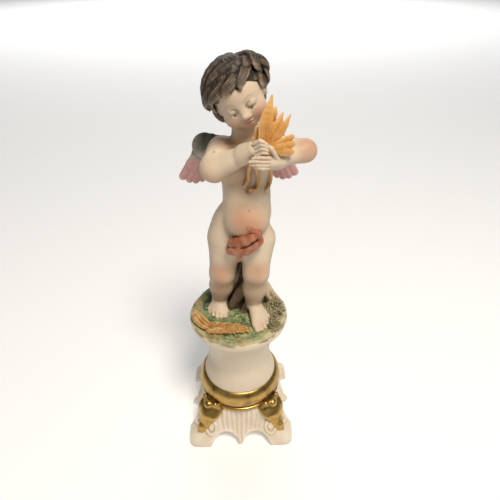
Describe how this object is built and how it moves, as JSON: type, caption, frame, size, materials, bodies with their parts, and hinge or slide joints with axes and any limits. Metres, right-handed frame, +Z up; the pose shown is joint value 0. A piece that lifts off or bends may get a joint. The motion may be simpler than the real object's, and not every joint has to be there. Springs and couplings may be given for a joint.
{
  "type": "porcelain putto figurine",
  "caption": "Winged child figurine in painted bisque porcelain hugging a bunch of maize, standing on a grassy disc over a waisted round column and a square scrolled foot with gilding.",
  "frame": {"origin": "on the floor, under the middle of the whole statue's bounding box (3 mm to the figure's raised-elbow side of the pedestal's axis)", "axes": "+Z up, -Y is the front the child faces, +X is the side of the raised left elbow"},
  "size_m": [0.096, 0.09, 0.3088],
  "materials": {
    "white_bisque": "unglazed white porcelain, satin, with a gilded ring, bead and corner leaves",
    "painted_bisque": "hand-painted matt porcelain: warm skin, dark brown hair, golden maize, red-orange cloth, green turf"
  },
  "bodies": {
    "root": {"pedestal": "white_bisque", "putto_figure": "painted_bisque"}
  },
  "joints": []
}
